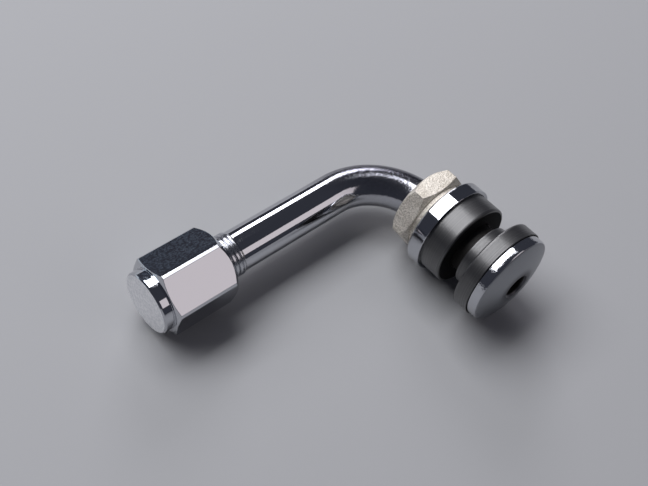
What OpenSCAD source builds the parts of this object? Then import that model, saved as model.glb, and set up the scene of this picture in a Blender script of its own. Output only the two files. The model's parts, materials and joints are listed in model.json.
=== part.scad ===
// Right-angle clamp-in tyre valve. A bent, plated brass stem has a flanged head at one end and a threaded
// mouth at the other. Two rubber grommets, a cup washer and a hexagon nut clamp its shank in a wheel rim.
// A spring-loaded core seals the mouth, under a hexagon cap. The valve lies on its side, as it comes to rest.
// Lengths are millimetres. Places along the shank are measured from the axis of the mouth's arm, and places
// along that arm from the axis of the shank.

/* [Stem tube] */
// Outside diameter of the bent tube
tube_d = 7.2; // [6.4:0.1:7.4]
// Diameter of the air bore
bore_d = 4; // [3:0.1:4.1]
// Radius of the bend, at the tube's centre line
bend_r = 11.6; // [9:0.1:12]

/* [Head and shank] */
// Place of the head's back face along the shank
head_back = 29.9; // [29:0.1:36]
// Diameter of the head
head_d = 16.7; // [15:0.1:18]
// Thickness of the head's rim
head_rim = 1.75; // [0.8:0.05:2.5]
// Rise of the domed end above the rim
dome_h = 1.35; // [0.8:0.05:3]
// Diameter of the flat land round the air hole
land_d = 6.4; // [5.6:0.1:9]
// Bevel at the mouth of the air hole
hole_bevel = 0.4; // [0.1:0.05:0.6]
// Rounding of the head's front edge
head_round = 0.7; // [0.2:0.05:1]
// Outside diameter of the shank's thread
shank_d = 9; // [8.6:0.1:9.6]
// Place where the shank's thread starts
shank_start = 12; // [11.8:0.1:13]

/* [Mouth] */
// Place of the mouth's rim along the arm
mouth_end = 46.9; // [44:0.1:56]
// Outside diameter of the mouth's thread
mouth_d = 7.7; // [7.5:0.05:8.2]
// Length of the mouth's thread
mouth_thread = 13.7; // [11.5:0.1:16]
// Bevel at each end of the mouth's thread
thread_bevel = 0.3; // [0.1:0.05:0.4]

/* [Clamp stack] */
// Gap between the grommet faces that grip the rim
rim_gap = 4.5; // [3:0.1:6]
// Diameter of the inner grommet's flange
inner_d = 17.3; // [16.8:0.1:19]
// Thickness of the inner grommet's flange
inner_h = 2.9; // [2:0.1:4]
// Diameter of the spigot that fills the rim's hole
spigot_d = 11.4; // [11:0.1:12]
// Length of the spigot
spigot_h = 2.45; // [1.5:0.05:2.6]
// Length of the outer grommet that shows below the cup washer
outer_show = 4.2; // [3:0.1:5]
// Rounding of the grommets' edges
rubber_round = 0.55; // [0.2:0.05:0.8]
// Overhang of the cup washer past the nut's corners
washer_over = 0.5; // [0.1:0.01:0.6]
// Height of the cup washer
washer_h = 2.8; // [2:0.1:3.2]
// Thickness of the cup washer's floor
washer_floor = 1.1; // [0.8:0.05:1.4]
// Thickness of the cup washer's skirt
washer_wall = 0.6; // [0.4:0.05:0.9]
// Bevel of the cup washer's back edge
washer_bevel = 0.35; // [0.1:0.05:0.5]
// Width across the nut's flats
nut_af = 13.6; // [13:0.1:14.4]
// Height of the nut's hexagon
nut_h = 3.7; // [3:0.05:4.1]
// Height of the round shoulder under the nut
nut_face_h = 1.35; // [0.5:0.05:1.6]
// Diameter of the round shoulder under the nut
nut_face_d = 12.8; // [11:0.1:12.9]
// Turn of the nut's hexagon about the shank
nut_turn = 2.6; // [0:0.1:60]

/* [Cap] */
// Width across the cap's flats
cap_af = 12; // [11.4:0.1:12.6]
// Length of thread that the closed cap covers
cap_grip = 10.3; // [9:0.1:11]
// Diameter of the cap's round nose
nose_d = 10.7; // [9.6:0.1:11]
// Length of the cap's round nose
nose_h = 1.8; // [1:0.1:3]
// Thickness of the cap's end wall
cap_end = 2.08; // [1.6:0.02:3]
// Bevel of the nose's edge
nose_bevel = 0.3; // [0.1:0.05:0.6]
// Thickness of the sealing disc in the cap
seal_h = 1.2; // [0.8:0.1:1.6]
// Turn of the cap's hexagon about the arm
cap_turn = -12.7; // [-30:0.1:0]

/* [Core] */
// Outside diameter of the core's threaded plug
plug_d = 5.2; // [5:0.05:5.3]
// Depth of the plug's top below the mouth
plug_depth = 0.4; // [0.3:0.05:0.8]
// Length of the plug
plug_h = 4.2; // [3.6:0.1:4.6]
// Width of the driving blade on the plug
blade_w = 2.2; // [1.9:0.1:2.6]
// Height of the driving blade on the plug
blade_h = 1.8; // [1.2:0.1:2.2]
// Outside diameter of the barrel
barrel_d = 3.6; // [3.3:0.05:3.8]
// Bore of the barrel
barrel_bore = 2.2; // [2.1:0.05:2.4]
// Length of the barrel below the plug
barrel_h = 8; // [7:0.1:9]
// Length of the barrel's neck, held in the plug
neck_h = 1.4; // [1:0.1:1.8]
// Thickness of the barrel's lower end
barrel_end = 1; // [0.6:0.1:1.4]
// Length of the gasket on the barrel
gasket_h = 1.8; // [1.4:0.1:2]
// Depth of the gasket's groove in the barrel
gasket_groove = 0.3; // [0.2:0.05:0.35]
// Depth of the conical seat below the mouth
seat_depth = 5; // [4.8:0.05:5.1]
// Length of the conical seat
seat_h = 2.4; // [2:0.1:3]
// Diameter of the chamber below the seat
chamber_d = 4.2; // [4.15:0.05:4.4]
// Diameter of the pin
pin_d = 1; // [0.8:0.05:1.1]
// Depth of the pin's tip below the mouth
pin_depth = 0.1; // [0:0.05:0.3]
// Travel of the pin
pin_travel = 1.2; // [0.8:0.1:1.6]
// Height of the collar on the pin that carries the spring
collar_h = 0.6; // [0.4:0.1:1]
// Diameter of the spring's wire
wire_d = 0.25; // [0.2:0.01:0.26]
// Turns of the spring
spring_turns = 8; // [6:1:10]
// Outside diameter of the cup on the pin
cup_d = 3.6; // [3.3:0.05:3.6]
// Thickness of the cup's floor and skirt
cup_wall = 0.28; // [0.2:0.02:0.4]
// Thickness of the gasket in the cup
cup_gasket_h = 0.6; // [0.5:0.05:0.8]

/* [Clearances] */
// Radial gap between mating threads
thread_gap = 0.06; // [0.02:0.01:0.1]
// Radial gap of what slides on the shank
slide_gap = 0.08; // [0.03:0.01:0.1]
// Radial gap of what stays put once fitted
snug_gap = 0.02; // [0.01:0.01:0.05]
// Gap at the sealing faces
seal_gap = 0.02; // [0.01:0.01:0.05]
// Radial gap for air round the pin
air_gap = 0.28; // [0.2:0.02:0.3]
// Radial gap of the pin's collar in the barrel
collar_gap = 0.09; // [0.05:0.01:0.1]

/* [Hidden] */
$fn = 96;
// Angle of the bevels on the hexagons, from the end face
hex_bevel_angle = 32;
// Share of the flats' half width at which those bevels start
hex_bevel_start = 0.95;
// Steps in a rounded edge of a turned profile
round_steps = 5;
// Steps in a turn of the spring, and corners of its wire's section
turn_steps = 16;
wire_corners = 6;
// Overlap of cutting tools past the surface that they cut
past = 0.5;

// Places along the shank
inner_face = head_back - inner_h;
spigot_end = inner_face - spigot_h;
outer_front = inner_face - rim_gap;
washer_front = outer_front - outer_show;
washer_back = washer_front - washer_h;
outer_back = washer_back + washer_floor;
nut_face = washer_back - nut_face_h;
nut_back = nut_face - nut_h;
head_front = head_back + head_rim + dome_h;
washer_d = nut_af * 2 / sqrt(3) + 2 * washer_over;
outer_d = washer_d - 2 * (washer_wall + snug_gap);

// Places along the arm
thread_start = mouth_end - mouth_thread;
cap_back = mouth_end - cap_grip;
seal_face = mouth_end + seal_gap;
cap_floor = seal_face + seal_h;
cap_nose = cap_floor + cap_end;
cap_hex_end = cap_nose - nose_h;
cap_bore = mouth_d + 2 * thread_gap;

// Depths below the mouth
plug_bore = plug_d + 2 * thread_gap;
plug_end = plug_depth + plug_h;
barrel_low = plug_end + barrel_h;
gasket_top = seat_depth + (seat_h - gasket_h) / 2;
collar_top = plug_end + seal_gap;
spring_top = collar_top + collar_h;
spring_low = barrel_low - barrel_end;
cup_top = barrel_low + seal_gap;
cup_floor = cup_top + cup_gasket_h;
pin_low = cup_floor + 2 * cup_wall;
chamber_low = pin_low + pin_travel + seal_h;
pin_hole = pin_d + 2 * air_gap;
neck_d = barrel_bore + 2 * gasket_groove;

// How the valve lies: on the cup washer and along the lowest edge of the cap, each placed across and up
cap_corner_r = cap_af / sqrt(3);
rest_cap = cap_corner_r * [sin(180 + cap_turn), cos(180 + cap_turn)];
rest_washer = [-washer_back - washer_bevel, -washer_d / 2];
lean = atan((rest_cap[1] - rest_washer[1]) / (rest_cap[0] - rest_washer[0]));
rest_height = rest_cap[0] * sin(lean) - rest_cap[1] * cos(lean);

// Middle of the lying valve's box, which becomes the origin
box_x = [-cap_nose, inner_d / 2];
box_y = [
    -head_front * cos(lean) - land_d / 2 * sin(lean),
    cap_corner_r * max([for (k = [0:5]) sin(cap_turn + lean + 60 * k)])
];
box_mid = [(box_x[0] + box_x[1]) / 2, (box_y[0] + box_y[1]) / 2];

// Lays the valve on its side with the middle of its box over the origin
module lay() {
    translate([-box_mid[0], -box_mid[1], rest_height]) rotate([-lean, 0, 0]) children();
}

// Turns +Z into the shank's direction, from the mouth's arm to the head
module along_shank() {
    rotate([90, 0, 0]) children();
}

// Turns +Z into the arm's direction, from the shank to the mouth
module along_arm() {
    rotate([0, -90, 0]) children();
}

// As along_arm, with +Z pointing down into the mouth from its rim
module into_mouth() {
    translate([-mouth_end, 0, 0]) rotate([0, 90, 0]) children();
}

// Points of a rounded outer corner, from angle a to angle b round the centre
function corner_arc(centre, r, a, b) =
    [for (i = [0:round_steps]) centre + r * [cos(a + (b - a) * i / round_steps), sin(a + (b - a) * i / round_steps)]];

// Radius of the conical seat at a depth below the mouth
function seat_r(depth) =
    plug_bore / 2 + (chamber_d - plug_bore) / 2 * (depth - seat_depth) / seat_h;

// Turned ring between two places, with its own bore
module ring(d, bore, from, to) {
    translate([0, 0, from]) difference() {
        cylinder(d = d, h = to - from);
        translate([0, 0, -past]) cylinder(d = bore, h = to - from + 2 * past);
    }
}

// Turned ring with rounded outer edges, as moulded rubber has
module rounded_ring(d, bore, from, to, r) {
    rotate_extrude() polygon(concat(
        [[bore / 2, from]],
        corner_arc([d / 2 - r, from + r], r, -90, 0),
        corner_arc([d / 2 - r, to - r], r, 0, 90),
        [[bore / 2, to]]
    ));
}

// Hexagon bar between two places, with both ends bevelled to a circle by cones that run on past its corners
module hex_bar(af, from, to, turn) {
    corner = af / sqrt(3);
    start = hex_bevel_start * af / 2;
    reach = corner + past;
    bevel = (reach - start) * tan(hex_bevel_angle);
    intersection() {
        translate([0, 0, from]) rotate([0, 0, turn]) cylinder(r = corner, h = to - from, $fn = 6);
        rotate_extrude() polygon([
            [0, from], [start, from], [reach, from + bevel], [reach, to - bevel], [start, to], [0, to]
        ]);
    }
}

// Bent bar of a given diameter along the tube's centre line, from the arm to the shank
module bend(d) {
    translate([-bend_r, -bend_r, 0]) rotate_extrude(angle = 90) translate([bend_r, 0]) circle(d = d);
}

// Stem: head, shank, bent tube and mouth, all one piece
module valve_stem() {
    // The domed end is a sphere through the rim's top and the land's edge, and the rounding is tangent to it
    dome_drop = ((head_d * head_d - land_d * land_d) / 4 - dome_h * dome_h) / (2 * dome_h);
    dome_r = sqrt(head_d * head_d / 4 + dome_drop * dome_drop);
    dome_mid = head_back + head_rim - dome_drop;
    edge_r = head_d / 2 - head_round;
    edge_up = sqrt(pow(dome_r - head_round, 2) - edge_r * edge_r);
    join = atan(edge_up / edge_r);
    rounded = corner_arc([edge_r, dome_mid + edge_up], head_round, 0, join);
    dome = corner_arc([0, dome_mid], dome_r, join, acos(land_d / 2 / dome_r));
    color("silver") lay() difference() {
        union() {
            along_shank() rotate_extrude() polygon(concat(
                [[0, bend_r], [tube_d / 2, bend_r], [tube_d / 2, shank_start - thread_bevel],
                 [shank_d / 2 - thread_bevel, shank_start - thread_bevel], [shank_d / 2, shank_start],
                 [shank_d / 2, head_back], [head_d / 2, head_back]],
                rounded,
                [for (i = [1:round_steps]) dome[i]],
                [[0, head_front]]
            ));
            bend(tube_d);
            along_arm() rotate_extrude() polygon([
                [0, bend_r], [tube_d / 2, bend_r], [tube_d / 2, thread_start], [mouth_d / 2, thread_start + thread_bevel],
                [mouth_d / 2, mouth_end - thread_bevel], [mouth_d / 2 - thread_bevel, mouth_end], [0, mouth_end]
            ]);
        }
        along_shank() rotate_extrude() polygon([
            [0, bend_r], [bore_d / 2, bend_r], [bore_d / 2, head_front - hole_bevel],
            [bore_d / 2 + hole_bevel + past, head_front + past], [0, head_front + past]
        ]);
        bend(bore_d);
        into_mouth() rotate_extrude() polygon([
            [0, -past], [plug_bore / 2, -past], [plug_bore / 2, seat_depth], [chamber_d / 2, seat_depth + seat_h],
            [chamber_d / 2, chamber_low], [bore_d / 2, chamber_low], [bore_d / 2, mouth_end - bend_r],
            [0, mouth_end - bend_r]
        ]);
    }
}

// Inner grommet: a flange under the head and a spigot that fills the rim's hole
module inner_grommet() {
    color("dimgray") lay() along_shank() {
        rounded_ring(inner_d, shank_d + 2 * snug_gap, inner_face, head_back, rubber_round);
        ring(spigot_d, shank_d + 2 * snug_gap, spigot_end, inner_face);
    }
}

// Outer grommet: a plain rubber ring, seated in the cup washer
module outer_grommet() {
    color("dimgray") lay() along_shank()
        rounded_ring(outer_d, shank_d + 2 * slide_gap, outer_back, outer_front, rubber_round);
}

// Cup washer: a pressed floor under the nut, and a skirt that holds the outer grommet
module cup_washer() {
    color("silver") lay() along_shank() rotate_extrude() polygon([
        [shank_d / 2 + slide_gap, washer_back], [washer_d / 2 - washer_bevel, washer_back],
        [washer_d / 2, washer_back + washer_bevel], [washer_d / 2, washer_front],
        [washer_d / 2 - washer_wall, washer_front], [washer_d / 2 - washer_wall, outer_back],
        [shank_d / 2 + slide_gap, outer_back]
    ]);
}

// Nut: a bevelled hexagon with a round shoulder against the cup washer
module rim_nut() {
    bore = shank_d + 2 * thread_gap;
    color("tan") lay() along_shank() difference() {
        union() {
            hex_bar(nut_af, nut_back, nut_face, nut_turn);
            translate([0, 0, nut_face]) cylinder(d = nut_face_d, h = nut_face_h);
        }
        translate([0, 0, nut_back - past]) cylinder(d = bore, h = nut_h + nut_face_h + 2 * past);
    }
}

// Cap: a bevelled hexagon with a round nose and a blind threaded bore
module valve_cap() {
    color("silver") lay() along_arm() difference() {
        union() {
            hex_bar(cap_af, cap_back, cap_hex_end, cap_turn);
            rotate_extrude() polygon([
                [0, cap_hex_end], [nose_d / 2, cap_hex_end], [nose_d / 2, cap_nose - nose_bevel],
                [nose_d / 2 - nose_bevel, cap_nose], [0, cap_nose]
            ]);
        }
        translate([0, 0, cap_back - past]) cylinder(d = cap_bore, h = cap_floor - cap_back + past);
    }
}

// Sealing disc at the bottom of the cap
module cap_seal() {
    color("black") lay() along_arm()
        translate([0, 0, seal_face]) cylinder(d = cap_bore - 2 * snug_gap, h = seal_h);
}

// Core plug: a threaded ring with a driving blade across its top, bored for the pin
module core_plug() {
    color("goldenrod") lay() into_mouth() difference() {
        union() {
            translate([0, 0, plug_depth + blade_h]) cylinder(d = plug_d, h = plug_h - blade_h);
            intersection() {
                translate([0, 0, plug_depth]) cylinder(d = plug_d, h = plug_h);
                translate([-plug_d / 2, -blade_w / 2, plug_depth]) cube([plug_d, blade_w, plug_h]);
            }
        }
        cylinder(d = pin_hole, h = plug_end + past);
        translate([0, 0, plug_end - neck_h - seal_gap]) cylinder(d = neck_d + 2 * snug_gap, h = neck_h + past);
    }
}

// Core barrel: a neck held in the plug, a groove for the gasket and a closed lower end with a hole for the pin
module core_barrel() {
    groove = barrel_d / 2 - gasket_groove;
    color("goldenrod") lay() into_mouth() rotate_extrude() polygon([
        [barrel_bore / 2, plug_end - neck_h], [neck_d / 2, plug_end - neck_h], [neck_d / 2, plug_end + seal_gap],
        [barrel_d / 2, plug_end + seal_gap], [barrel_d / 2, gasket_top], [groove, gasket_top],
        [groove, gasket_top + gasket_h], [barrel_d / 2, gasket_top + gasket_h], [barrel_d / 2, barrel_low],
        [pin_hole / 2, barrel_low], [pin_hole / 2, spring_low], [barrel_bore / 2, spring_low]
    ]);
}

// Gasket in the barrel's groove, tapered to the stem's conical seat
module barrel_gasket() {
    hole = barrel_d / 2 - gasket_groove + snug_gap;
    low = gasket_top + gasket_h - snug_gap;
    color("firebrick") lay() into_mouth() rotate_extrude() polygon([
        [hole, gasket_top + snug_gap], [seat_r(gasket_top) - snug_gap, gasket_top + snug_gap],
        [seat_r(low) - snug_gap, low], [hole, low]
    ]);
}

// Pin through the core, with a collar for the spring and a riveted lower end
module core_pin() {
    color("goldenrod") lay() into_mouth() {
        translate([0, 0, pin_depth]) cylinder(d = pin_d, h = pin_low - pin_depth);
        translate([0, 0, collar_top]) cylinder(d = barrel_bore - 2 * collar_gap, h = collar_h);
        translate([0, 0, cup_floor + cup_wall + snug_gap]) cylinder(d = pin_d + 2 * cup_wall, h = cup_wall);
    }
}

// Spring between the pin's collar and the barrel's lower end, as a swept hexagonal wire
module core_spring() {
    coil_r = (barrel_bore - wire_d) / 2 - collar_gap;
    rise = spring_low - spring_top - wire_d - 2 * seal_gap;
    count = spring_turns * turn_steps;
    points = [
        for (i = [0:count]) for (k = [0:wire_corners - 1])
            let (turn = 360 * i / turn_steps, side = 360 * k / wire_corners, r = coil_r + wire_d / 2 * cos(side))
            [r * cos(turn), r * sin(turn), spring_top + seal_gap + wire_d / 2 * (1 + sin(side)) + rise * i / count]
    ];
    sides = [
        for (i = [0:count - 1]) for (k = [0:wire_corners - 1])
            let (a = i * wire_corners + k, b = i * wire_corners + (k + 1) % wire_corners)
            [a, b, b + wire_corners, a + wire_corners]
    ];
    start = [for (k = [wire_corners - 1:-1:0]) k];
    end = [for (k = [0:wire_corners - 1]) count * wire_corners + k];
    color("gray") lay() into_mouth() polyhedron(points, concat([start, end], sides));
}

// Cup riveted on the pin's lower end, with a skirt round its gasket
module core_cup() {
    color("goldenrod") lay() into_mouth() rotate_extrude() polygon([
        [pin_d / 2 + snug_gap, cup_floor], [cup_d / 2 - cup_wall, cup_floor], [cup_d / 2 - cup_wall, cup_top + cup_wall],
        [cup_d / 2, cup_top + cup_wall], [cup_d / 2, cup_floor + cup_wall], [pin_d / 2 + snug_gap, cup_floor + cup_wall]
    ]);
}

// Gasket in the cup, drawn up against the barrel's lower end
module cup_gasket() {
    color("black") lay() into_mouth()
        ring(cup_d - 2 * (cup_wall + snug_gap), pin_d + 2 * snug_gap, cup_top, cup_floor);
}

valve_stem();
inner_grommet();
outer_grommet();
cup_washer();
rim_nut();
valve_cap();
cap_seal();
core_plug();
core_barrel();
barrel_gasket();
core_pin();
core_spring();
core_cup();
cup_gasket();
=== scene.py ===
# A right-angle clamp-in tyre valve, dressed for its picture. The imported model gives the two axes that
# its pieces are turned about, and each piece is a surface on a grid: places along its axis, and angles
# round it. Lengths are millimetres until a mesh is written, in metres.
import json

import bpy
import numpy as np
from mathutils import Matrix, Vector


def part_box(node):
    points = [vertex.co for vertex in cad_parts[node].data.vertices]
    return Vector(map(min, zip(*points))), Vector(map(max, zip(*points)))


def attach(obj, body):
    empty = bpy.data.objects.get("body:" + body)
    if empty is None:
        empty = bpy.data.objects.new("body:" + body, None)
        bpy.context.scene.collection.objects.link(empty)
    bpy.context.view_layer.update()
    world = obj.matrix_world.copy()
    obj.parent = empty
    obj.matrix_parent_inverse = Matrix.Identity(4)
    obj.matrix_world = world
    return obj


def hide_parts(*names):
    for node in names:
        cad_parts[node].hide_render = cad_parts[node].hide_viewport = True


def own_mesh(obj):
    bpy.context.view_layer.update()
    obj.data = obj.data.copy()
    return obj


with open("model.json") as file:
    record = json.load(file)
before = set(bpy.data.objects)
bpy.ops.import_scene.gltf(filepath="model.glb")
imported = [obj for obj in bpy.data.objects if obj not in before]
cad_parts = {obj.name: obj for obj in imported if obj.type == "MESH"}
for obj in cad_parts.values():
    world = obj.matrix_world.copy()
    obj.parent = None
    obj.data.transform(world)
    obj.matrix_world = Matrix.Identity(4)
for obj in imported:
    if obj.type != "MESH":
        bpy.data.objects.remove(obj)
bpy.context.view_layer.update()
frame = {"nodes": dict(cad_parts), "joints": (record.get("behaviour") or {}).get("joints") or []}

# Stem: a brass bar, turned, bored, threaded at both ends and bent to a right angle, then polished and chromed.
# Its flanged head lies inside the tyre, with a satin domed end round the air hole. Every other piece is carried
# on its shank or on its mouth.
MM = 0.001
pivots = {joint["name"]: joint for joint in frame["joints"]}
to_mouth, to_head = (np.array(pivots[name]["axis"]) for name in ("cap_turn", "nut_turn"))
on_arm, on_shank = (np.array(pivots[name]["pos_m"]) / MM for name in ("cap_turn", "nut_turn"))
# The corner where the two axes meet: on_arm + a * to_mouth = on_shank + b * to_head
legs = np.linalg.lstsq(np.stack([to_mouth, -to_head], axis=1), on_shank - on_arm, rcond=None)[0]
corner = on_arm + legs[0] * to_mouth
upright = np.cross(to_mouth, to_head)

TUBE_R, BORE_R, BEND_R = 3.6, 2.0, 11.6
BEND_LENGTH = BEND_R * np.pi / 2
MOUTH_END, MOUTH_R, THREAD_START, THREAD_BEVEL = 46.9, 3.85, 33.2, 0.3
MOUTH_PITCH, MOUTH_CUT, COLLAR = 0.79375, 0.4, 0.4
PLUG_BORE_R, CHAMBER_R = 2.66, 2.1
SEAT_TOP, SEAT_LOW, CHAMBER_LOW = MOUTH_END - 5, MOUTH_END - 7.4, MOUTH_END - 16.18
SHANK_START, SHANK_R, SHANK_PITCH, SHANK_CUT, SHANK_THREAD_END = 12.0, 4.5, 1.0, 0.5, 20.5
HEAD_BACK, HEAD_R, RIM_TOP, RIM_EDGE, HEAD_FRONT = 29.9, 8.35, 31.65, 0.52, 33.0
LAND_R, HOLE_BEVEL = 3.2, 0.4
# How far from a corner its easing starts, from a step in the bore to the soft edge of a face
STEP, CREST, FINE, LIP, PLAIN, SOFT = 0.03, 0.04, 0.05, 0.08, 0.1, 0.15
# How far the rows of a thread, the tube, the bend and the dome's two sides keep from the corners beside them
THREAD_GAP, TUBE_GAP, BEND_GAP, RIM_GAP, LAND_GAP = 0.5, 0.6, 1.0, 0.9, 0.3
MOUTH_ROWS, TUBE_ROWS, BEND_ROWS, SHANK_ROWS = 220, 14, 73, 140
DOME_ROWS, BORE_ROWS, STEM_COLUMNS = 14, 37, 120
# The second colour is a painted dark reflection on the outside of the bend
# The third colour is painted shade, near-black, for the hole and the shank under the grommets
CHROME, PAINTED_DARK_REFLECTION, BORE_PAINTED_SHADE = (0.56, 0.57, 0.60), (0.20, 0.20, 0.23), (0.02, 0.018, 0.016)
# The first satin colour is painted shade near the hole
SATIN_PAINTED_SHADE, SATIN_LIGHT, SATIN_RINGS = (0.10, 0.10, 0.11), (0.32, 0.33, 0.35), 48


def arm_place(s):
    """Length along the centre line, counted from the start of the bend, of a place on the arm."""
    return BEND_R - s


def shank_place(t):
    """Length along the centre line, counted from the start of the bend, of a place on the shank."""
    return BEND_LENGTH + t - BEND_R


def centre_line(length):
    """Point of the stem's centre line, and the normal that points out of the bend there. The bend's angle is
    length / radius, held between 0 and 90 degrees, and the length left over runs on along the tangent."""
    angle = np.clip(length, 0, BEND_LENGTH) / BEND_R
    over = (length - angle * BEND_R)[:, None]
    cos, sin = np.cos(angle)[:, None], np.sin(angle)[:, None]
    outward = -cos * to_head - sin * to_mouth
    tangent = sin * to_head - cos * to_mouth
    return corner + BEND_R * (to_mouth + to_head + outward) + over * tangent, outward


def level(first, last, radius, count):
    """Even places at one radius, as corners with no easing."""
    return np.stack([np.linspace(first, last, count), np.full(count, radius), np.zeros(count)], axis=1)


def eased(corners):
    """Closed profile of (place, radius, cut) corners with each corner eased. Its curve is
    (1-w)^2 A + 2w(1-w) C + w^2 B, where A and B lie a cut away from corner C towards its neighbours. One more
    point past A and past B keeps the stretch between two corners straight in its shading. Leading axes hold one
    profile per column, and points that fall together in every column are left out."""
    corners = np.asarray(corners, float)
    points, cuts = corners[..., :2], corners[..., 2:]
    back, ahead = np.roll(points, 1, axis=-2) - points, np.roll(points, -1, axis=-2) - points
    back = cuts * back / np.linalg.norm(back, axis=-1, keepdims=True)
    ahead = cuts * ahead / np.linalg.norm(ahead, axis=-1, keepdims=True)
    w = np.array([-0.5, 0, 0.2, 0.4, 0.6, 0.8, 1, 1.5])[:, None]
    held = np.clip(w, 0, 1)
    curve = points[..., None, :]
    curve = curve + ((1 - held) ** 2 + np.maximum(-w, 0)) * back[..., None, :]
    curve = curve + (held ** 2 + np.maximum(w - 1, 0)) * ahead[..., None, :]
    curve = curve.reshape(*points.shape[:-2], -1, 2)
    step = np.abs(curve - np.roll(curve, 1, axis=-2)).max(axis=-1)
    return curve[..., step.reshape(-1, step.shape[-1]).max(axis=0) > 1e-5, :]


def thread(place, angle, pitch, first, last):
    """Share of a right-hand thread's full cut: -0.4 - 1.5 cos(full turns of place / pitch, less the angle),
    held between 0 and 1, so that its crests are wide and its grooves narrow. It fades in over half a pitch
    from both ends."""
    wave = np.clip(-0.4 - 1.5 * np.cos(2 * np.pi * place / pitch - angle), 0, 1)
    return wave * np.clip(2 * (place - first) / pitch, 0, 1) * np.clip(2 * (last - place) / pitch, 0, 1)


def skin(name, points, finishes, zones=None, ends=False):
    """Piece with a mesh over a grid of points, columns by rows. Quads join neighbours and wrap round both
    ways, or stop at the first and the last row, which then get a lid each. They are turned over if the volume
    that they enclose, a sixth of the sum of a . (b x c) over their triangles, is negative. zones gives each row
    the number of its finish."""
    columns, rows = points.shape[:2]
    i, j = (n.ravel() for n in np.meshgrid(np.arange(columns), np.arange(rows - ends), indexing="ij"))
    ahead, beside = (i + 1) % columns, (j + 1) % rows
    quads = np.stack([i * rows + j, ahead * rows + j, ahead * rows + beside, i * rows + beside], axis=1)
    spots = points.reshape(-1, 3)
    a, b, c, d = np.moveaxis(spots[quads] - spots.mean(axis=0), 1, 0)
    inside_out = np.sum(a * np.cross(b, c)) + np.sum(a * np.cross(c, d)) < 0
    lids = [np.arange(columns)[::-1] * rows, np.arange(columns) * rows + rows - 1] if ends else []
    faces = [face[::-1] if inside_out else face for face in quads.tolist() + [lid.tolist() for lid in lids]]
    mesh = bpy.data.meshes.new(name)
    mesh.from_pydata(spots * MM, [], faces)
    row_zones = np.zeros(rows, int) if zones is None else zones
    lid_zones = row_zones[[0, -1]] if ends else row_zones[:0]
    mesh.polygons.foreach_set("material_index", np.concatenate([row_zones[j], lid_zones]).astype(np.int32))
    mesh.polygons.foreach_set("use_smooth", np.ones(len(faces), bool))
    for material in finishes:
        mesh.materials.append(material)
    mesh.update()
    piece = bpy.data.objects.new(name, mesh)
    bpy.context.scene.collection.objects.link(piece)
    return piece


class Socket:
    """A shader node's output that takes part in Python sums: each operator on values adds its Math node."""

    def __init__(self, tree, link=None):
        self.tree, self.link = tree, link

    def node(self, kind, settings, inputs, output=0):
        """Output of a new node: its settings are set first, then its sockets get values or links."""
        made = self.tree.nodes.new("ShaderNode" + kind)
        for name, value in settings.items():
            setattr(made, name, value)
        for key, value in inputs.items():
            if isinstance(value, Socket):
                self.tree.links.new(value.link, made.inputs[key])
            else:
                made.inputs[key].default_value = value
        return Socket(self.tree, made.outputs[output])

    def math(self, operation, *values):
        """A Math node's operation on these values."""
        return self.node("Math", {"operation": operation}, dict(enumerate(values)))

    def __add__(self, other):
        return self.math("ADD", self, other)

    def __sub__(self, other):
        return self.math("SUBTRACT", self, other)

    def __mul__(self, other):
        return self.math("MULTIPLY", self, other)

    def __rsub__(self, other):
        return self.math("SUBTRACT", other, self)

    __radd__, __rmul__ = __add__, __mul__

    def vector(self, operation, other, output=0):
        """A Vector Math node's operation on this vector and another."""
        return self.node("VectorMath", {"operation": operation}, {0: self, 1: other}, output)

    def along(self, direction):
        """How far a place lies from the corner of the two axes, along a direction."""
        return self.vector("SUBTRACT", tuple(corner)).vector("DOT_PRODUCT", tuple(direction), "Value")

    def held(self, low, high):
        """0 below low, 1 above high, and smooth between."""
        limits = {"Value": self, "From Min": low, "From Max": high}
        return self.node("MapRange", {"interpolation_type": "SMOOTHSTEP"}, limits)

    def noise(self, scale, detail=2.0):
        """Noise from 0 to 1 over a place, with that many grains to the millimetre."""
        return self.node("TexNoise", {}, {"Vector": self, "Scale": scale, "Detail": detail}, "Fac")

    def lines(self, scale, detail):
        """Noise from 0 to 1 over a length, with that many lines to the millimetre."""
        one_way = {"noise_dimensions": "1D"}
        return self.node("TexNoise", one_way, {"W": self, "Scale": scale, "Detail": detail}, "Fac")

    def blend(self, first, second):
        """Colour from first to second as this value goes from 0 to 1."""
        return self.node("Mix", {"data_type": "RGBA"}, {"Factor": self, 6: (*first, 1), 7: (*second, 1)}, 2)

    def bumped(self, depth):
        """Normal of a surface with this value as its height, times a depth in millimetres."""
        return self.node("Bump", {}, {"Height": self, "Distance": depth * MM}, "Normal")


def finish(name, paint):
    """Material whose Principled sockets come from paint(spot), where spot is the place in the frame, in
    millimetres."""
    material = bpy.data.materials.new(name)
    material.use_nodes = True
    tree = material.node_tree
    tree.nodes.clear()
    start = Socket(tree)
    spot = start.node("TexCoord", {}, {}, "Object")
    spot = spot.node("VectorMath", {"operation": "SCALE"}, {0: spot, "Scale": 1 / MM})
    sockets = {key: (*value, 1) if isinstance(value, tuple) else value for key, value in paint(spot).items()}
    output = tree.nodes.new("ShaderNodeOutputMaterial")
    tree.links.new(start.node("BsdfPrincipled", {}, sockets).link, output.inputs["Surface"])
    return material


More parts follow.
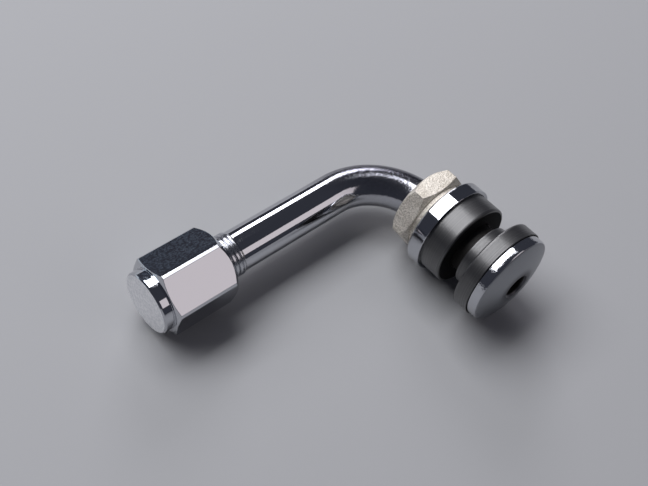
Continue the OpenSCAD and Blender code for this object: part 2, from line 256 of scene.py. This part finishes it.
def mirror_chrome(spot):
    """Plate that mirrors sharply, with the orange peel that bending leaves on the outside of the bend, fading
    from 4 to 17 mm of reach along the two axes together. Over the same reach its colour darkens: a painted dark
    reflection over the outside of the bend."""
    peel_and_dark_reflection = 1 - spot.along(to_mouth + to_head).held(4, 17)
    grain = spot.noise(2.4, 4.0)
    return {
        # Painted dark reflection: the plate's colour darkens over the outside of the bend
        "Base Color": (peel_and_dark_reflection * (0.55 + grain)).blend(CHROME, PAINTED_DARK_REFLECTION),
        "Metallic": 1.0,
        "Roughness": 0.03 + 0.04 * spot.noise(2.0) + 0.17 * peel_and_dark_reflection,
        "Normal": ((0.05 + peel_and_dark_reflection) * grain).bumped(0.045),
    }


def satin_chrome(spot):
    """Plate over a turned face: dull, with fine rings round the shank, a sine of the radius. Its colour is
    painted darker near the hole: painted shade."""
    from_axis = spot.vector("SUBTRACT", tuple(corner)).vector("CROSS_PRODUCT", tuple(to_head))
    radius = from_axis.vector("LENGTH", (0, 0, 0), "Value")
    rings = spot.math("SINE", SATIN_RINGS * radius)
    return {
        # Painted shade: the colour darkens towards the hole
        "Base Color": radius.held(2.4, 4.2).blend(SATIN_PAINTED_SHADE, SATIN_LIGHT),
        "Metallic": 1.0,
        "Roughness": 0.34 + 0.1 * spot.noise(5.0),
        "Normal": (0.4 * rings + spot.noise(9.0)).bumped(0.004),
    }


def threaded_chrome(spot):
    """Plate over a cut thread, which the polishing wheel doesn't reach: half bright."""
    grain = spot.noise(4.0)
    return {
        "Base Color": CHROME,
        "Metallic": 1.0,
        "Roughness": 0.16 + 0.1 * grain,
        "Normal": grain.bumped(0.01),
    }


def pitted_chrome(spot):
    """Mirror plate on the head's rim, which is turned but not buffed: fine pits break up its highlights."""
    pits = spot.noise(2.2, 4.0)
    return {
        "Base Color": CHROME,
        "Metallic": 1.0,
        "Roughness": 0.05 + 0.08 * pits,
        "Normal": pits.bumped(0.03),
    }


def painted_shade_bore(spot):
    """Near-black, dull brass in the hole and on the shank under the grommets: painted shade in those recesses.
    """
    return {"Base Color": BORE_PAINTED_SHADE, "Metallic": 0.3, "Roughness": 0.5 + 0.2 * spot.noise(6.0)}


stem_paints = (mirror_chrome, satin_chrome, painted_shade_bore, threaded_chrome, pitted_chrome)
stem_finishes = [finish(paint.__name__, paint) for paint in stem_paints]
ON_END, IN_DARK, ON_THREAD, ON_RIM = 1, 2, 3, 4
chrome = stem_finishes[0]

# The domed end is a sphere through the rim's top and the land's edge
dome_h = HEAD_FRONT - RIM_TOP
dome_drop = (HEAD_R ** 2 - LAND_R ** 2 - dome_h ** 2) / (2 * dome_h)
dome_r, dome_mid = np.hypot(HEAD_R, dome_drop), RIM_TOP - dome_drop
on_dome = np.linspace(HEAD_R - RIM_GAP, LAND_R + LAND_GAP, DOME_ROWS)
dome_place = shank_place(dome_mid + np.sqrt(dome_r ** 2 - on_dome ** 2))
stem_profile = eased(np.concatenate([
    [[arm_place(MOUTH_END), PLUG_BORE_R, PLAIN],
     [arm_place(MOUTH_END), MOUTH_R - THREAD_BEVEL, FINE],
     [arm_place(MOUTH_END - THREAD_BEVEL), MOUTH_R, CREST]],
    level(arm_place(MOUTH_END - THREAD_GAP), arm_place(THREAD_START + THREAD_GAP), MOUTH_R, MOUTH_ROWS),
    [[arm_place(THREAD_START + THREAD_BEVEL), MOUTH_R, FINE],
     [arm_place(THREAD_START), TUBE_R, PLAIN]],
    level(arm_place(THREAD_START - TUBE_GAP), -BEND_GAP, TUBE_R, TUBE_ROWS),
    level(0, BEND_LENGTH, TUBE_R, BEND_ROWS),
    [[shank_place(SHANK_START - THREAD_BEVEL), TUBE_R, FINE],
     [shank_place(SHANK_START - THREAD_BEVEL), SHANK_R - THREAD_BEVEL, FINE],
     [shank_place(SHANK_START), SHANK_R, CREST]],
    level(shank_place(SHANK_START + THREAD_BEVEL), shank_place(SHANK_THREAD_END), SHANK_R, SHANK_ROWS),
    [[shank_place(HEAD_BACK), SHANK_R, PLAIN],
     [shank_place(HEAD_BACK), HEAD_R, SOFT],
     [shank_place(RIM_TOP), HEAD_R, RIM_EDGE]],
    np.stack([dome_place, on_dome, np.zeros(DOME_ROWS)], axis=1),
    [[shank_place(HEAD_FRONT), LAND_R, SOFT],
     [shank_place(HEAD_FRONT), BORE_R + HOLE_BEVEL, LIP],
     [shank_place(HEAD_FRONT - HOLE_BEVEL), BORE_R, PLAIN]],
    level(BEND_LENGTH, 0, BORE_R, BORE_ROWS),
    [[arm_place(CHAMBER_LOW), BORE_R, STEP],
     [arm_place(CHAMBER_LOW), CHAMBER_R, STEP],
     [arm_place(SEAT_LOW), CHAMBER_R, PLAIN],
     [arm_place(SEAT_TOP), PLUG_BORE_R, PLAIN]],
]))
turn = np.linspace(0, 2 * np.pi, STEM_COLUMNS, endpoint=False)[:, None]
length, radius = stem_profile[:, 0], stem_profile[:, 1]
outside = radius > (PLUG_BORE_R + TUBE_R) / 2
mouth_thread = thread(length, turn, MOUTH_PITCH, arm_place(MOUTH_END), arm_place(THREAD_START + COLLAR))
shank_thread = thread(length, turn, SHANK_PITCH, shank_place(SHANK_START), shank_place(SHANK_THREAD_END))
radii = (radius - outside * (MOUTH_CUT * mouth_thread + SHANK_CUT * shank_thread))[..., None]
middle, outward = centre_line(length)
stem_points = middle + radii * (np.cos(turn)[..., None] * outward + np.sin(turn)[..., None] * upright)
# Zones of the finishes: the satin end reaches halfway down the hole's bevel. From there the hole, and the
# shank under the grommets, are painted near-black: painted shade.
on_end = (length > shank_place(RIM_TOP - FINE)) & (radius < HEAD_R - PLAIN)
in_hole = (length > shank_place(HEAD_BACK)) & (radius < BORE_R + HOLE_BEVEL / 2)
on_head = length > shank_place(HEAD_BACK - PLAIN)
in_rim = (length > shank_place(SHANK_THREAD_END - PLAIN)) & ~on_head & outside
on_thread = (length < arm_place(THREAD_START + COLLAR)) & outside
stem_zones = np.select(
    [on_end & ~in_hole, in_hole | in_rim, on_thread, on_head], [ON_END, IN_DARK, ON_THREAD, ON_RIM])
stem = skin("valve_stem_chromed", stem_points, stem_finishes, stem_zones)
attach(stem, "stem")
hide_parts("valve_stem")

# Inner grommet: a moulded rubber flange under the stem's head, with a spigot that fills the rim's hole. It is
# pushed on over the mouth and the bend, and its sides are ground, which leaves fine lines round them.
INNER_FACE, INNER_R, SPIGOT_END, SPIGOT_R = 27.0, 8.605, 24.55, 5.7
SNUG_BORE_R = SHANK_R + 0.02
RUBBER_EDGE, SPIGOT_EDGE, HEAD_EDGE, RING_COLUMNS = 0.4, 0.2, 0.12, 128
GROUND_BLACK, CUT_BLACK = (0.011, 0.011, 0.012), (0.010, 0.010, 0.010)


def ground_rubber(spot):
    """Black rubber with a soft sheen. Fine lines round the shank, noise of the place along it, streak the sheen
    and spread its highlights along the shank."""
    lines = spot.along(to_head).lines(5.5, 3.0)
    grain = spot.noise(2.5, 3.0)
    return {
        "Base Color": GROUND_BLACK,
        "Roughness": 0.3 + 0.14 * lines + 0.06 * grain,
        "Specular IOR Level": 1.0,
        "Coat Weight": 0.25 + 0.5 * lines.held(0.3, 0.7),
        "Coat Roughness": 0.28,
        "Coat IOR": 1.7,
        "Normal": lines.bumped(0.02),
    }


def cut_rubber(spot):
    """The same rubber on a face cut square: flat black."""
    return {"Base Color": CUT_BLACK, "Roughness": 0.7 + 0.2 * spot.noise(4.0), "Specular IOR Level": 0.2}


def turned(profile, columns):
    """Points of (place, radius) profiles turned about the shank:
    corner + place * axis + radius * (sin upright - cos towards the mouth)."""
    angle = columns[:, None, None]
    place, radius = profile[..., :1], profile[..., 1:]
    return corner + place * to_head + radius * (np.sin(angle) * upright - np.cos(angle) * to_mouth)


ring_turn = np.linspace(0, 2 * np.pi, RING_COLUMNS, endpoint=False)
rubbers = [finish(paint.__name__, paint) for paint in (ground_rubber, cut_rubber)]
inner_profile = eased([
    [SPIGOT_END, SNUG_BORE_R, SOFT], [SPIGOT_END, SPIGOT_R, SPIGOT_EDGE], [INNER_FACE, SPIGOT_R, PLAIN],
    [INNER_FACE, INNER_R, RUBBER_EDGE], [HEAD_BACK, INNER_R, HEAD_EDGE], [HEAD_BACK, SNUG_BORE_R, PLAIN],
])
on_face = np.isin(inner_profile[:, 0], [SPIGOT_END, INNER_FACE, HEAD_BACK]).astype(int)
inner = skin("inner_grommet_moulded", turned(inner_profile, ring_turn), rubbers, on_face)
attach(inner, "stem")
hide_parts("inner_grommet")

# Outer grommet: a plain rubber ring of the same stock, moulded and ground alike and loose on the shank.
# The cup washer holds its back end.
OUTER_BACK, OUTER_FRONT, OUTER_R, LOOSE_BORE_R = 16.6, 22.5, 7.733, SHANK_R + 0.08
outer_profile = eased([
    [OUTER_BACK, LOOSE_BORE_R, SOFT], [OUTER_BACK, OUTER_R, RUBBER_EDGE],
    [OUTER_FRONT, OUTER_R, RUBBER_EDGE], [OUTER_FRONT, LOOSE_BORE_R, SOFT],
])
on_face = np.isin(outer_profile[:, 0], [OUTER_BACK, OUTER_FRONT]).astype(int)
outer = skin("outer_grommet_moulded", turned(outer_profile, ring_turn), rubbers, on_face)
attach(outer, "clamp_ring")
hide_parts("outer_grommet")

# Cup washer: a brass cup pressed from sheet, bevelled round its back and chromed. Its floor takes the nut's
# thrust, and its skirt keeps the outer grommet from spreading.
WASHER_BACK, WASHER_FRONT, WASHER_R = 15.5, 18.3, 8.353
WASHER_WALL, WASHER_BEVEL, WASHER_EDGE = 0.6, 0.35, 0.12
washer_profile = eased([
    [WASHER_BACK, LOOSE_BORE_R, PLAIN], [WASHER_BACK, WASHER_R - WASHER_BEVEL, WASHER_EDGE],
    [WASHER_BACK + WASHER_BEVEL, WASHER_R, WASHER_EDGE], [WASHER_FRONT, WASHER_R, WASHER_EDGE],
    [WASHER_FRONT, WASHER_R - WASHER_WALL, PLAIN], [OUTER_BACK, WASHER_R - WASHER_WALL, PLAIN],
    [OUTER_BACK, LOOSE_BORE_R, PLAIN],
])
washer = skin("cup_washer_chromed", turned(washer_profile, ring_turn), [chrome])
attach(washer, "clamp_ring")
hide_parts("cup_washer")

# Rim nut: sawn from hexagon brass bar, bevelled, tapped, tumbled and dull nickel plated, with a round face
# towards the washer. It screws along the shank and clamps the rim between the grommets.
NUT_BACK, NUT_FACE, NUT_FLAT, NUT_TURN, NUT_CORNER_R = 10.45, 14.15, 6.8, 2.6, 7.83
NUT_BORE_R, NUT_ROUND_R, BORE_BEVEL, NUT_ROWS = SHANK_R + 0.06, 6.4, 0.3, 56
NUT_BACK_SLOPE, NUT_FACE_SLOPE, BEVEL_START = 42, 30, 0.98
SHARP, TOUCH = 0.02, 0.01
NICKEL_DARK, NICKEL_LIGHT = (0.56, 0.515, 0.44), (0.92, 0.875, 0.80)


def hexagon(flat, corner_r, turned_by):
    """Angle and radius of a hexagon's outline with its corners flattened. An angle d from the middle of a side
    meets the side at flat / cos d, and the corner's narrow face at corner_r / cos(30 degrees - d). The two meet
    where tan d is (corner_r / flat - cos 30) / sin 30, and a column 0.3 degrees to either side of that keeps
    each face flat in its shading."""
    meet = np.arctan((corner_r / flat - np.cos(np.pi / 6)) / np.sin(np.pi / 6))
    half = meet + np.concatenate([meet * np.array([-0.65, -0.3]), np.radians([-0.3, 0, 0.3])])
    side = np.concatenate([-half[::-1], [0], half, [np.pi / 6]])
    outline = np.minimum(flat / np.cos(side), corner_r / np.cos(np.pi / 6 - np.abs(side)))
    middles = np.radians(turned_by + 30 + 60 * np.arange(6))
    return (middles[:, None] + side).ravel(), np.tile(outline, 6)


def bevel_depth(outline, flat, slope):
    """How far a turned bevel reaches down a hexagon at each column: the outline's height over the bevel's
    start, times the tangent of its slope in degrees."""
    return (outline - BEVEL_START * flat) * np.tan(np.radians(slope))


def columnwise(corners, columns):
    """Corners of a profile, with numbers that may differ from column to column, as columns x corners x 3."""
    parts = [np.stack(np.broadcast_arrays(*values, np.zeros(columns))[:3], axis=-1) for values in corners]
    return np.stack(parts, axis=1)


def dull_nickel(spot):
    """Warm, dull plate with a sandy grain, a little darker in its hollows. A broad cloud lightens it in
    patches: a painted sheen.
    """
    grain, painted_sheen = spot.noise(4.2, 4.0), spot.noise(0.3)
    return {
        # Painted sheen: the broad cloud lightens the plate in patches
        "Base Color": (0.7 * grain + 0.3 * painted_sheen).held(0.36, 0.62).blend(NICKEL_DARK, NICKEL_LIGHT),
        "Metallic": 1.0,
        "Roughness": 0.48 + 0.2 * grain,
        "Normal": grain.bumped(0.13),
    }


nut_turn, nut_outline = hexagon(NUT_FLAT, NUT_CORNER_R, NUT_TURN)
nut_start = BEVEL_START * NUT_FLAT
nut_back_end = NUT_BACK + bevel_depth(nut_outline, NUT_FLAT, NUT_BACK_SLOPE)
nut_face_end = NUT_FACE - bevel_depth(nut_outline, NUT_FLAT, NUT_FACE_SLOPE)
nut_profile = eased(columnwise([
    (NUT_BACK, NUT_BORE_R + BORE_BEVEL, FINE), (NUT_BACK, nut_start, CREST),
    (nut_back_end, nut_outline, FINE), (nut_face_end, nut_outline, FINE),
    (NUT_FACE, nut_start, SHARP), (NUT_FACE, NUT_ROUND_R, SHARP),
    (WASHER_BACK, NUT_ROUND_R, SOFT), (WASHER_BACK, NUT_BORE_R + BORE_BEVEL, FINE),
    (WASHER_BACK - BORE_BEVEL, NUT_BORE_R, FINE),
    *level(WASHER_BACK - THREAD_GAP, NUT_BACK + THREAD_GAP, NUT_BORE_R, NUT_ROWS),
    (NUT_BACK + BORE_BEVEL, NUT_BORE_R, FINE),
], len(nut_turn)))
in_bore = np.abs(nut_profile[..., 1] - NUT_BORE_R) < TOUCH
nut_place, nut_ends = shank_place(nut_profile[..., 0]), (shank_place(NUT_BACK), shank_place(WASHER_BACK))
nut_profile[..., 1] += SHANK_CUT * in_bore * thread(nut_place, nut_turn[:, None], SHANK_PITCH, *nut_ends)
nut = skin("rim_nut_plated", turned(nut_profile, nut_turn), [finish("dull_nickel", dull_nickel)])
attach(nut, "nut")
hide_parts("rim_nut")

# Valve core: a brass plug and barrel with a sprung pin through them, screwed into the mouth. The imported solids
# show as they are: turned brass, a red gasket on the barrel and a black one in the pin's cup. The black disc in
# the cap is of the same rubber.
BRASS_DARK, BRASS_LIGHT = (0.70, 0.52, 0.22), (0.82, 0.66, 0.34)
RED_DARK, RED_LIGHT, SEAL_BLACK = (0.40, 0.05, 0.04), (0.55, 0.10, 0.08), (0.02, 0.02, 0.02)


def turned_brass(spot):
    """Bare brass from the lathe: yellow, fairly bright, with fine tool lines along the arm."""
    lines = spot.vector("DOT_PRODUCT", tuple(to_mouth), "Value").lines(14.0, 1.0)
    return {
        "Base Color": spot.noise(3.0).blend(BRASS_DARK, BRASS_LIGHT),
        "Metallic": 1.0,
        "Roughness": 0.2 + 0.15 * lines,
        "Normal": lines.bumped(0.006),
    }


def red_gasket(spot):
    """Moulded red gasket, slightly mottled."""
    mottle = spot.noise(4.0)
    return {"Base Color": mottle.blend(RED_DARK, RED_LIGHT), "Roughness": 0.4 + 0.2 * mottle}


def seal_rubber(spot):
    """Dull black sealing rubber."""
    grain = spot.noise(5.0, 3.0)
    return {"Base Color": SEAL_BLACK, "Roughness": 0.55 + 0.2 * grain, "Normal": grain.bumped(0.01)}


brass, gasket, seal = (finish(paint.__name__, paint) for paint in (turned_brass, red_gasket, seal_rubber))
packed_finishes = {
    "core_plug": brass, "core_barrel": brass, "core_pin": brass, "core_cup": brass,
    "barrel_gasket": gasket, "cup_gasket": seal, "cap_seal": seal,
}
for node, material in packed_finishes.items():
    solid = frame["nodes"][node].data
    solid.materials.clear()
    solid.materials.append(material)

# Core spring: drawn steel wire, wound to eight turns. It sits between the pin's collar and the barrel's lower
# end. In the valve it is squeezed towards that end as the pin goes in; here it keeps its wound length.
WIRE_R, SPRING_TURNS, TURN_ROWS, WIRE_COLUMNS, STEEL = 0.125, 8, 36, 10, (0.50, 0.50, 0.51)


def drawn_wire(spot):
    """Grey spring steel, smooth and half bright."""
    return {"Base Color": STEEL, "Metallic": 1.0, "Roughness": 0.22 + 0.12 * spot.noise(6.0)}


# The wire's centre climbs evenly while it turns, and a circle of the wire's radius is carried along it
spring_near, spring_far = np.array(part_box("core_spring")) / MM
spring_ends = (np.array([spring_far, spring_near]) - corner) @ to_mouth
coil_r = (spring_far - spring_near)[1] / 2 - WIRE_R
section = np.linspace(0, 2 * np.pi, WIRE_COLUMNS, endpoint=False)[:, None, None]
along_wire = np.linspace(0, 1, SPRING_TURNS * TURN_ROWS)[:, None]
coil_angle = 2 * np.pi * SPRING_TURNS * along_wire
coil_place = spring_ends[0] + WIRE_R + along_wire * (spring_ends[1] - spring_ends[0] - 2 * WIRE_R)
coil_out = np.cos(coil_angle) * upright - np.sin(coil_angle) * to_head
coil = corner + (coil_place + WIRE_R * np.sin(section)) * to_mouth
coil = coil + (coil_r + WIRE_R * np.cos(section)) * coil_out
spring = skin("core_spring_wound", coil, [finish("drawn_wire", drawn_wire)], ends=True)
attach(spring, "stem")
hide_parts("core_spring")
pressed = pivots["pin_press"]["range_m"][1] / MM / (spring_ends[1] - spring_ends[0])
1 - pressed
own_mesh(spring)

# Cap: turned and milled from hexagon brass bar, its edges polished round, then chromed. Its round nose has a
# bare satin end, and its blind bore is tapped for the mouth's thread, with a rubber disc at the bottom.
CAP_BACK, CAP_HEX_END, CAP_NOSE, CAP_FLOOR, CAP_RELIEF = 36.6, 48.4, 50.195, 48.12, 1.0
CAP_FLAT, CAP_TURN, CAP_CORNER_R, NOSE_R, NOSE_BEVEL, CAP_BORE_R = 6.0, -12.7, 6.77, 5.35, 0.3, 3.91
CAP_FRONT_SLOPE, CAP_BACK_SLOPE, CAP_ROWS, POLE_R = 25, 44, 120, 0.02
# The haze colour is partly dust and partly a painted blue reflection
SATIN_GREY, SATIN_WHITE, HAZE_AND_BLUE_REFLECTION = (0.80, 0.81, 0.83), (0.97, 0.97, 0.98), (0.80, 0.91, 1.0)


def on_the_arm(profile, columns):
    """As turned, about the arm: corner + place * axis + radius * (cos upright - sin towards the head)."""
    angle = columns[:, None, None]
    place, radius = profile[..., :1], profile[..., 1:]
    return corner + place * to_mouth + radius * (np.cos(angle) * upright - np.sin(angle) * to_head)


def handled_chrome(spot):
    """Mirror plate as on the stem, with a mottled haze, noise held between two levels, where dust has settled
    on the side that lies uppermost. The haze's pale blue colour is partly dust and partly a painted blue
    reflection on that side."""
    settled = spot.along(upright).held(4.3, 4.9) * (1 - spot.along(to_head).held(0.2, 1.4))
    haze_and_blue_reflection = spot.noise(2.6, 4.0).held(0.36, 0.64) * settled
    return {
        # Partly dust, partly painted reflection: the haze tints the upper side's plate pale blue
        "Base Color": haze_and_blue_reflection.blend(CHROME, HAZE_AND_BLUE_REFLECTION),
        "Metallic": 1.0,
        "Roughness": 0.035 + 0.09 * haze_and_blue_reflection,
        "Normal": (0.08 * spot.noise(2.4, 4.0)).bumped(0.02),
    }


def satin_end(spot):
    """Dull plate on the nose's end, from the raw bar's sawn and tumbled face."""
    grain = spot.noise(2.6, 4.0)
    return {
        "Base Color": grain.held(0.35, 0.65).blend(SATIN_GREY, SATIN_WHITE),
        "Metallic": 1.0,
        "Roughness": 0.32 + 0.2 * grain,
        "Normal": grain.bumped(0.05),
    }


cap_finishes = [finish(paint.__name__, paint) for paint in (handled_chrome, satin_end)]
cap_turn, cap_outline = hexagon(CAP_FLAT, CAP_CORNER_R, CAP_TURN)
cap_start = BEVEL_START * CAP_FLAT
cap_front_end = CAP_HEX_END - bevel_depth(cap_outline, CAP_FLAT, CAP_FRONT_SLOPE)
cap_back_end = CAP_BACK + bevel_depth(cap_outline, CAP_FLAT, CAP_BACK_SLOPE)
cap_thread_end = CAP_FLOOR - CAP_RELIEF
cap_profile = eased(columnwise([
    (CAP_NOSE, POLE_R, 0), (CAP_NOSE, NOSE_R - NOSE_BEVEL, PLAIN), (CAP_NOSE - NOSE_BEVEL, NOSE_R, PLAIN),
    (CAP_HEX_END, NOSE_R, LIP), (CAP_HEX_END, cap_start, CREST), (cap_front_end, cap_outline, FINE),
    (cap_back_end, cap_outline, FINE), (CAP_BACK, cap_start, CREST),
    (CAP_BACK, CAP_BORE_R + BORE_BEVEL, FINE), (CAP_BACK + BORE_BEVEL, CAP_BORE_R, FINE),
    *level(CAP_BACK + THREAD_GAP, cap_thread_end - BORE_BEVEL, CAP_BORE_R, CAP_ROWS),
    (CAP_FLOOR, CAP_BORE_R, FINE), (CAP_FLOOR, POLE_R, 0),
], len(cap_turn)))
in_bore = np.abs(cap_profile[..., 1] - CAP_BORE_R) < TOUCH
cap_place, cap_ends = arm_place(cap_profile[..., 0]), (arm_place(cap_thread_end), arm_place(CAP_BACK))
cap_profile[..., 1] += MOUTH_CUT * in_bore * thread(cap_place, -cap_turn[:, None], MOUTH_PITCH, *cap_ends)
at_end = cap_profile[:, :, 0].min(axis=0) > CAP_NOSE - SHARP
cap_points, cap_zones = on_the_arm(cap_profile, cap_turn), at_end.astype(int)
cap = skin("valve_cap_chromed", cap_points, cap_finishes, cap_zones, ends=True)
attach(cap, "cap")
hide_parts("valve_cap")

# Stage: a plain pale floor under the valve, and four soft panels round it: a wide one above, a narrow one
# beside that, one behind and a dim one in front. Distances are metres from the valve's middle.
FLOOR_HALF, FLOOR_GREY, STUDIO_GREY = 4.0, (0.44, 0.445, 0.455), (0.045, 0.048, 0.062)
ABOVE, BEHIND, BEFORE = 0.8, 0.6, 0.6


def pale_floor(spot):
    """Plain matt paint."""
    return {"Base Color": FLOOR_GREY, "Roughness": 0.9}


def panel(name, distance, place, across, up, glow):
    """Rectangular lamp at a place, spread along two directions, all for a distance of 1, and facing the valve.
    Its power is pi * area * radiance, and glow holds its red, green and blue radiance."""
    place, across, up = (distance * np.array(arrow) for arrow in (place, across, up))
    width, height = np.linalg.norm(across), np.linalg.norm(up)
    lamp = bpy.data.lights.new(name, "AREA")
    lamp.shape, lamp.size, lamp.size_y = "RECTANGLE", width, height
    lamp.energy, lamp.color = np.pi * width * height * max(glow), np.array(glow) / max(glow)
    across, up = across / width, up / height
    facing = np.stack([across, up, np.cross(across, up)], axis=1)
    light = bpy.data.objects.new(name, lamp)
    light.matrix_world = Matrix([[*row, at] for row, at in zip(facing, place)] + [[0, 0, 0, 1]])
    bpy.context.scene.collection.objects.link(light)


floor_mesh = bpy.data.meshes.new("floor")
floor_corners = FLOOR_HALF * np.array([[-1, -1, 0], [1, -1, 0], [1, 1, 0], [-1, 1, 0]])
floor_mesh.from_pydata(floor_corners, [], [[0, 1, 2, 3]])
floor_mesh.materials.append(finish("pale_floor", pale_floor))
floor = bpy.data.objects.new("floor", floor_mesh)
bpy.context.scene.collection.objects.link(floor)
panel("top_panel", ABOVE, (-0.23, 0.72, 1), (1.3, 0, 0), (0, 0.76, 0), (5.8, 5.8, 6.0))
panel("strip_panel", ABOVE, (0.365, 0.235, 1), (0.11, 0, 0), (0, 0.21, 0), (2.0, 2.0, 2.1))
panel("back_panel", BEHIND, (0.79, 1, 0.7), (-0.64, 0, 0), (0, 0, 0.5), (6.0, 5.9, 6.3))
panel("front_panel", BEFORE, (0.6, -1, 0.8), (0.6, 0.2, 0), (0, 0.25, 0.6), (0.86, 0.78, 0.79))
world = bpy.data.worlds.new("studio")
world.use_nodes = True
world.node_tree.nodes["Background"].inputs["Color"].default_value = (*STUDIO_GREY, 1)
bpy.context.scene.world = world

# Camera: at the photograph's angle, given in the plane of the two axes. It turns about the upright, rises over
# the plane and rolls, then stands away from the corner and a little to the side.
CAMERA_TURN, CAMERA_RISE, CAMERA_ROLL = np.radians([-49.215, 50.963, 10.309])
CAMERA_AWAY, CAMERA_ASIDE, CAMERA_UP = 173.242, -10.045, -13.743
IMAGE_WIDTH, FOCAL_PIXELS, SENSOR, NEAR_CLIP = 648, 970.87, 36.0, 0.01
axes = np.stack([-to_mouth, -to_head, upright])
flat_right = np.array([np.cos(CAMERA_TURN), np.sin(CAMERA_TURN), 0])
flat_back = np.array([np.sin(CAMERA_TURN), -np.cos(CAMERA_TURN), 0])
backward = np.cos(CAMERA_RISE) * flat_back + np.array([0, 0, np.sin(CAMERA_RISE)])
flat_up = np.cross(backward, flat_right)
right = np.cos(CAMERA_ROLL) * flat_right + np.sin(CAMERA_ROLL) * flat_up
up = np.cos(CAMERA_ROLL) * flat_up - np.sin(CAMERA_ROLL) * flat_right
eye = (corner + (CAMERA_ASIDE * right + CAMERA_UP * up + CAMERA_AWAY * backward) @ axes) * MM
camera_data = bpy.data.cameras.new("camera")
camera_data.sensor_width = SENSOR
camera_data.lens = FOCAL_PIXELS * SENSOR / IMAGE_WIDTH
camera_data.clip_start = NEAR_CLIP
camera = bpy.data.objects.new("camera", camera_data)
turned_axes = np.stack([right, up, backward]) @ axes
camera.matrix_world = Matrix([[*turned_axes[:, k], eye[k]] for k in range(3)] + [[0, 0, 0, 1]])
bpy.context.scene.collection.objects.link(camera)
bpy.context.scene.camera = camera
bpy.context.scene.view_settings.view_transform = "Standard"
